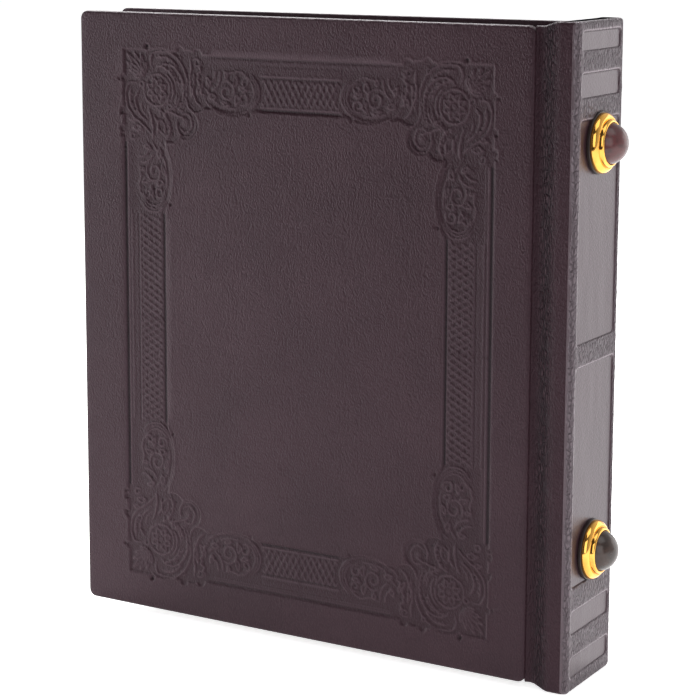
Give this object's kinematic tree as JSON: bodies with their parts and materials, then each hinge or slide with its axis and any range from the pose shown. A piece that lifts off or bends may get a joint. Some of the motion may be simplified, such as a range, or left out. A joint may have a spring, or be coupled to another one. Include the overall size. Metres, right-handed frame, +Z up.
{
  "type": "stamp album",
  "caption": "Leather-bound ring binder for stamp leaves, with hinged covers, a U-shaped spine carrying two gilt cabochon bolts, opening rings and stock leaves with clear strips.",
  "frame": {"origin": "middle of the bounding box in X (within 1 mm) and Y, at the height of the spine's foot", "axes": "+Z up along the spine, +X out of the spine's face, -Y out of the front cover"},
  "size_m": [0.2544, 0.045, 0.272],
  "materials": {
    "cover_leather": "fine pebble grain, satin, dark aubergine brown",
    "grey_board": "raw bookbinder's board",
    "endpaper": "laid paper, matt dark brown",
    "lining_cloth": "fine book cloth, matt dark brown",
    "plated_steel": "nickel plated, polished",
    "gilt_metal": "gold plated, polished",
    "garnet_stone": "polished cabochon, dark garnet",
    "smoky_stone": "polished cabochon, smoky brown",
    "dark_washer": "dark bronze lacquer",
    "leaf_card": "black stock-page card",
    "clear_film": "clear polyester strip"
  },
  "bodies": {
    "spine": {"back_hinge_leather": "cover_leather", "back_inner_hinge": "lining_cloth", "back_shoulder_board": "grey_board", "bolt_nuts": "gilt_metal", "bolt_spacers": "plated_steel", "bolt_stems": "plated_steel", "bolt_washers": "dark_washer", "front_hinge_leather": "cover_leather", "front_inner_hinge": "lining_cloth", "front_shoulder_board": "grey_board", "lever_pins": "plated_steel", "lower_bezel": "gilt_metal", "lower_stone": "smoky_stone", "ring_plate": "plated_steel", "spine_board": "grey_board", "spine_leather": "cover_leather", "spine_lining": "lining_cloth", "upper_bezel": "gilt_metal", "upper_stone": "garnet_stone"},
    "front_cover": {"front_board": "grey_board", "front_cover_leather": "cover_leather", "front_endpaper": "endpaper"},
    "back_cover": {"back_board": "grey_board", "back_cover_leather": "cover_leather", "back_endpaper": "endpaper"},
    "front_ring_side": {"front_blade": "plated_steel", "front_half_rings": "plated_steel"},
    "back_ring_side": {"back_blade": "plated_steel", "back_half_rings": "plated_steel"},
    "upper_lever_arm": {"upper_lever": "plated_steel"},
    "lower_lever_arm": {"lower_lever": "plated_steel"},
    "front_leaf_1": {"front_leaf_1_card": "leaf_card", "front_leaf_1_strips": "clear_film"},
    "front_leaf_2": {"front_leaf_2_card": "leaf_card", "front_leaf_2_strips": "clear_film"},
    "front_leaf_3": {"front_leaf_3_card": "leaf_card", "front_leaf_3_strips": "clear_film"},
    "front_leaf_4": {"front_leaf_4_card": "leaf_card", "front_leaf_4_strips": "clear_film"},
    "back_leaf_1": {"back_leaf_1_card": "leaf_card", "back_leaf_1_strips": "clear_film"},
    "back_leaf_2": {"back_leaf_2_card": "leaf_card", "back_leaf_2_strips": "clear_film"},
    "back_leaf_3": {"back_leaf_3_card": "leaf_card", "back_leaf_3_strips": "clear_film"},
    "back_leaf_4": {"back_leaf_4_card": "leaf_card", "back_leaf_4_strips": "clear_film"}
  },
  "joints": [
    {"name": "front_cover_hinge", "type": "hinge", "parent": "spine", "child": "front_cover", "pos_m": [0.1015, -0.0228, 0.136], "axis": [0, 0, 1], "range_deg": [0, 180]},
    {"name": "back_cover_hinge", "type": "hinge", "parent": "spine", "child": "back_cover", "pos_m": [0.1015, 0.0228, 0.136], "axis": [0, 0, -1], "range_deg": [0, 180]},
    {"name": "ring_opening", "type": "hinge", "parent": "spine", "child": "front_ring_side", "pos_m": [0.1072, -0.0092, 0.136], "axis": [0, 0, 1], "range_deg": [0, 12]},
    {"name": "back_ring_opening", "type": "hinge", "parent": "spine", "child": "back_ring_side", "pos_m": [0.1072, 0.0092, 0.136], "axis": [0, 0, -1], "range_deg": [0, 12]},
    {"name": "upper_lever_press", "type": "hinge", "parent": "spine", "child": "upper_lever_arm", "pos_m": [0.1069, 0, 0.2375], "axis": [0, 1, 0], "range_deg": [0, 20.1]},
    {"name": "lower_lever_press", "type": "hinge", "parent": "spine", "child": "lower_lever_arm", "pos_m": [0.1069, 0, 0.0345], "axis": [0, -1, 0], "range_deg": [0, 20.1]},
    {"name": "front_leaf_1_turn", "type": "hinge", "parent": "spine", "child": "front_leaf_1", "pos_m": [0.0952, 0, 0.136], "axis": [0, 0, 1], "range_deg": [0, 55.85]},
    {"name": "front_leaf_2_turn", "type": "hinge", "parent": "spine", "child": "front_leaf_2", "pos_m": [0.0952, 0, 0.136], "axis": [0, 0, 1], "range_deg": [0, 61.25]},
    {"name": "front_leaf_3_turn", "type": "hinge", "parent": "spine", "child": "front_leaf_3", "pos_m": [0.0952, 0, 0.136], "axis": [0, 0, 1], "range_deg": [0, 67.55]},
    {"name": "front_leaf_4_turn", "type": "hinge", "parent": "spine", "child": "front_leaf_4", "pos_m": [0.0952, 0, 0.136], "axis": [0, 0, 1], "range_deg": [0, 73.85]},
    {"name": "back_leaf_1_turn", "type": "hinge", "parent": "spine", "child": "back_leaf_1", "pos_m": [0.0952, 0, 0.136], "axis": [0, 0, -1], "range_deg": [0, 55.85]},
    {"name": "back_leaf_2_turn", "type": "hinge", "parent": "spine", "child": "back_leaf_2", "pos_m": [0.0952, 0, 0.136], "axis": [0, 0, -1], "range_deg": [0, 61.25]},
    {"name": "back_leaf_3_turn", "type": "hinge", "parent": "spine", "child": "back_leaf_3", "pos_m": [0.0952, 0, 0.136], "axis": [0, 0, -1], "range_deg": [0, 67.55]},
    {"name": "back_leaf_4_turn", "type": "hinge", "parent": "spine", "child": "back_leaf_4", "pos_m": [0.0952, 0, 0.136], "axis": [0, 0, -1], "range_deg": [0, 73.85]}
  ],
  "couplings": [
    {"joint": "back_ring_opening", "follows": "ring_opening", "ratio": 1},
    {"joint": "upper_lever_press", "follows": "ring_opening", "ratio": 1.67},
    {"joint": "lower_lever_press", "follows": "ring_opening", "ratio": 1.67},
    {"joint": "front_leaf_1_turn", "follows": "front_cover_hinge", "ratio": 0.31},
    {"joint": "front_leaf_2_turn", "follows": "front_cover_hinge", "ratio": 0.34},
    {"joint": "front_leaf_3_turn", "follows": "front_cover_hinge", "ratio": 0.375},
    {"joint": "front_leaf_4_turn", "follows": "front_cover_hinge", "ratio": 0.41},
    {"joint": "back_leaf_1_turn", "follows": "back_cover_hinge", "ratio": 0.31},
    {"joint": "back_leaf_2_turn", "follows": "back_cover_hinge", "ratio": 0.34},
    {"joint": "back_leaf_3_turn", "follows": "back_cover_hinge", "ratio": 0.375},
    {"joint": "back_leaf_4_turn", "follows": "back_cover_hinge", "ratio": 0.41}
  ]
}
